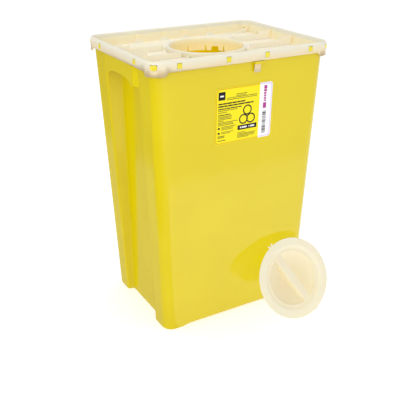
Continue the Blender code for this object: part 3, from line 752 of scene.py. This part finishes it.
# Painted shade: the deeper a point lies behind the flange, the darker its colour.
bowl_shade_span = {"From Min": flush - 0.0010, "From Max": flush - BOWL_DEPTH}
sunk = node(tree, "MapRange", {"Value": along, **bowl_shade_span}).outputs[0]
cloud = node(tree, "TexNoise", {"Vector": place, "Scale": 14.0, "Detail": 1.0}).outputs["Fac"]
shade = node(tree, "Math", {0: cloud, 1: 0.25, 2: -0.125}, operation="MULTIPLY_ADD").outputs[0]
shade = node(tree, "Math", {0: shade, 1: sunk}, operation="ADD").outputs[0]
tone = node(tree, "ValToRGB", {"Fac": shade})
for stop, position, code in zip(tone.color_ramp.elements, (0.0, 0.9), ("EFE8D2", "EADBB6")):
    stop.position = position
    stop.color = linear(code)
tone.color_ramp.elements.new(0.22).color = linear("EEE3C6")
tree.links.new(tone.outputs["Color"], shader.inputs["Base Color"])
paint(cap, cap_natural)
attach(cap, "cap")
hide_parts("port_cap")


# Grip bar.
# The bar across the cap's bowl, moulded with the cap in the same natural polypropylene. It is flush
# with the cap's ring, and its ends are drawn in towards the bottom of the bowl.
BAR_WIDTH, BAR_HALF, BAR_LOW = 0.0210, 0.0672, -0.0290
bar = block("grip_bar", (-BAR_WIDTH / 2, -BAR_HALF, BAR_LOW), (BAR_WIDTH / 2, BAR_HALF, -RING_DEPTH + 0.0002))
edit(bar)
choose("FACE", lambda middle, face: face.normal.z < -0.9)
bpy.ops.transform.resize(value=(1.10, 0.70, 1), center_override=(0, 0, BAR_LOW))
done()
modify(bar, "BEVEL", width=0.0016, segments=4, limit_method="ANGLE", angle_limit=math.radians(40))
put(bar, cap_place @ along_bar)
smooth(bar)
paint(bar, cap_natural)
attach(bar, "cap")
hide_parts("cap_grip_bar")

# Cap and bar are thin and milky enough to leave next to no shadow behind them.
for piece in (cap, bar):
    piece.visible_diffuse = False
    piece.visible_shadow = False


# Label.
# One printed film with rounded corners, stuck on the front wall: a yellow sheet with a thin ruled
# border, and a white tracking strip with a lavender border. The print is greeked: plain bars, blocks
# and rings stand in for words, signs and codes.
label_low, label_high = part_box("label_sheet")
strip_low, strip_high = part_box("tracking_strip")
FILM = 0.0004
LABEL_ROUND = 0.0070
MM = 0.001
width, height = strip_high.x - label_low.x, label_high.z - label_low.z
split = (label_high.x + strip_low.x) / 2 - label_low.x
front_turn = Matrix.Rotation(math.atan(DRAFT), 4, "X")
foot = Vector((label_low.x, -(BASE_Y + DRAFT * label_low.z) - 0.0003, label_low.z))
on_front = Matrix.Translation(foot) @ front_turn


def film(name, left, low, right, high, end, depth):
    """A sheet of the film whose corners at one end of the label, -1 for left and 1 for right, are rounded."""
    made = block(name, (left, -depth, low), (right, 0, high))
    edit(made)
    choose("EDGE", lambda middle, edge: (
        abs(edge.verts[0].co.y - edge.verts[1].co.y) > depth / 2 and (middle.x - split) * end > 0.02
    ))
    bpy.ops.mesh.bevel(offset=LABEL_ROUND, segments=8, affect="EDGES")
    done()
    return made


inks = {}
for name, code in (
    ("black_ink", "15131A"), ("grey_ink", "6E6A20"), ("ochre_ink", "DDB200"), ("lavender_ink", "E2D3F2"),
    ("magenta_ink", "B23A90"), ("white_ink", "F4F4F4"), ("yellow_film", "F8E600"), ("white_film", "FBFAFD"),
):
    made, tree, shader = new_material(name, Roughness=0.45, IOR=1.35)
    speck = node(tree, "TexNoise", {"Vector": node(tree, "TexCoord").outputs["Object"], "Scale": 400.0})
    tone = node(tree, "ValToRGB", {"Fac": speck.outputs["Fac"]})
    full = linear(code)
    tone.color_ramp.elements[0].color = (*[c * 0.97 for c in full[:3]], 1)
    tone.color_ramp.elements[1].color = full
    tree.links.new(tone.outputs["Color"], shader.inputs["Base Color"])
    inks[name] = made

sheet = film("printed_label", 0, 0, split, height, -1, FILM)
strip = film("white_strip", split, 0, width, height, 1, FILM)
for piece, ink, node_name, slot_name in (
    (sheet, "yellow_film", "label_sheet", "printed_label"),
    (strip, "white_film", "tracking_strip", "white_label"),
):
    put(piece, on_front)
    smooth(piece)
    paint(piece, inks[ink])
    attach(piece, "bin")
    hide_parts(node_name)

prints = {ink: [] for ink in inks if ink.endswith("_ink")}
OVERPRINT = 0.0002
random.seed(7)


def mark(ink, name, left, low, right, high, depth=0.0001):
    """Prints a flat block on the label, in millimetres from the label's lower left corner."""
    corner = (left * MM, -FILM - depth, low * MM)
    prints[ink].append(block(name, corner, (right * MM, -FILM + 0.00005, high * MM)))


def words(ink, left, low, length, size):
    """Prints a line of greeked words: bars of uneven length with narrow gaps."""
    start = left
    while start < left + length - size:
        long = min(size * random.uniform(1.2, 4.2), left + length - start)
        mark(ink, "word", start, low, start + long, low + size * 0.72)
        start += long + size * 0.30


mark("black_ink", "emblem_block", 7, 101, 24, 119)
mark("white_ink", "emblem_mark", 11, 108, 20, 111.5, OVERPRINT)
for low, left, length in ((109.5, 52, 28), (106, 52, 26), (103, 28, 78), (99.5, 28, 78)):
    words("grey_ink", left, low, length, 2.2)
for low, length, size in ((91, 68, 4.2), (85.5, 90, 4.2), (80, 62, 3.4)):
    words("black_ink", 7, low, length, size)
words("black_ink", 7, 66.5, 31, 3.0)
for low, length in (
    (76.5, 50), (72.5, 24), (63, 38), (60, 34), (57, 36), (53.5, 14), (50, 50), (47, 38), (44, 40),
):
    words("grey_ink", 7, low, length, 2.1)
for low, length in ((39.5, 36), (36.5, 32), (33.5, 30), (27.5, 30), (24.5, 24)):
    words("grey_ink", 16, low, length, 2.0)
for low, length in ((18.5, 20), (15.5, 18), (8.5, 20)):
    words("black_ink", 7, low, length, 2.2)
for low in (35.5, 24.5):
    mark("black_ink", "bullet", 7, low, 12, low + 4.5)
mark("black_ink", "volume_bar", 58, 27, 108, 37.5)
for start, end in ((64, 68), (69.5, 82), (87, 89), (91, 102)):
    mark("white_ink", "volume_mark", start, 30.4, end, 34.0, OVERPRINT)
for low, length in ((20, 20), (17, 48), (14.3, 46), (11.6, 46), (8.9, 30)):
    words("grey_ink", 58, low, length, 1.9)
RING_LIFT = 0.08
flatten = Matrix.Diagonal((1, RING_LIFT, 1, 1)) @ Matrix.Translation((0, FILM, 0))
flatten = Matrix.Translation((0, -FILM, 0)) @ flatten
for x, z in ((82, 71), (72.5, 51), (91.5, 51)):
    ring = primitive("torus", "ring_mark", major_segments=48, minor_segments=6, major_radius=0.0100,
                     minor_radius=0.0015, location=(x * MM, -FILM, z * MM), rotation=(math.radians(90), 0, 0))
    put(ring, flatten)
    prints["black_ink"].append(ring)

# Each border is a film of ink with a smaller film cut out of it.
EDGE_IN = 0.0011
LABEL_PRINT = FILM + 0.0001
for name, ink, left, right, inner_left, inner_right, line, end in (
    ("rule", "ochre_ink", EDGE_IN, split, 0.0032, split + 0.01, 0.0032, -1),
    ("border", "lavender_ink", split + 0.0004, width - EDGE_IN, split - 0.01, width - 0.0042, 0.0042, 1),
):
    frame_line = film(name, left, EDGE_IN, right, height - EDGE_IN, end, LABEL_PRINT)
    hole = film("hole", inner_left, line, inner_right, height - line, end, 2 * LABEL_PRINT)
    cut(frame_line, put(hole, Matrix.Translation((0, LABEL_PRINT / 2, 0))))
    prints[ink].append(frame_line)
for low, high, left, right in (
    (112, 120, 124, 132), (106, 111, 124, 132), (100, 104.5, 124.5, 130.5), (94.5, 98.5, 124.5, 130.5),
    (89, 93, 124.5, 130.5), (84, 87.5, 124.5, 130.5), (68, 81, 123, 131.5),
):
    mark("magenta_ink", "stamp", left, low, right, high)
low = 10.0
while low < 61:
    thick = random.choice((0.5, 0.5, 0.9, 1.4, 2.2))
    mark("black_ink", "code_bar", 122.5, low, 132, low + thick)
    low += thick + random.choice((0.5, 0.8, 1.3))

for ink, marks in prints.items():
    printed = join(*marks)
    printed.name = f"print_{ink}"
    put(printed, on_front)
    paint(printed, inks[ink])
    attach(printed, "bin")
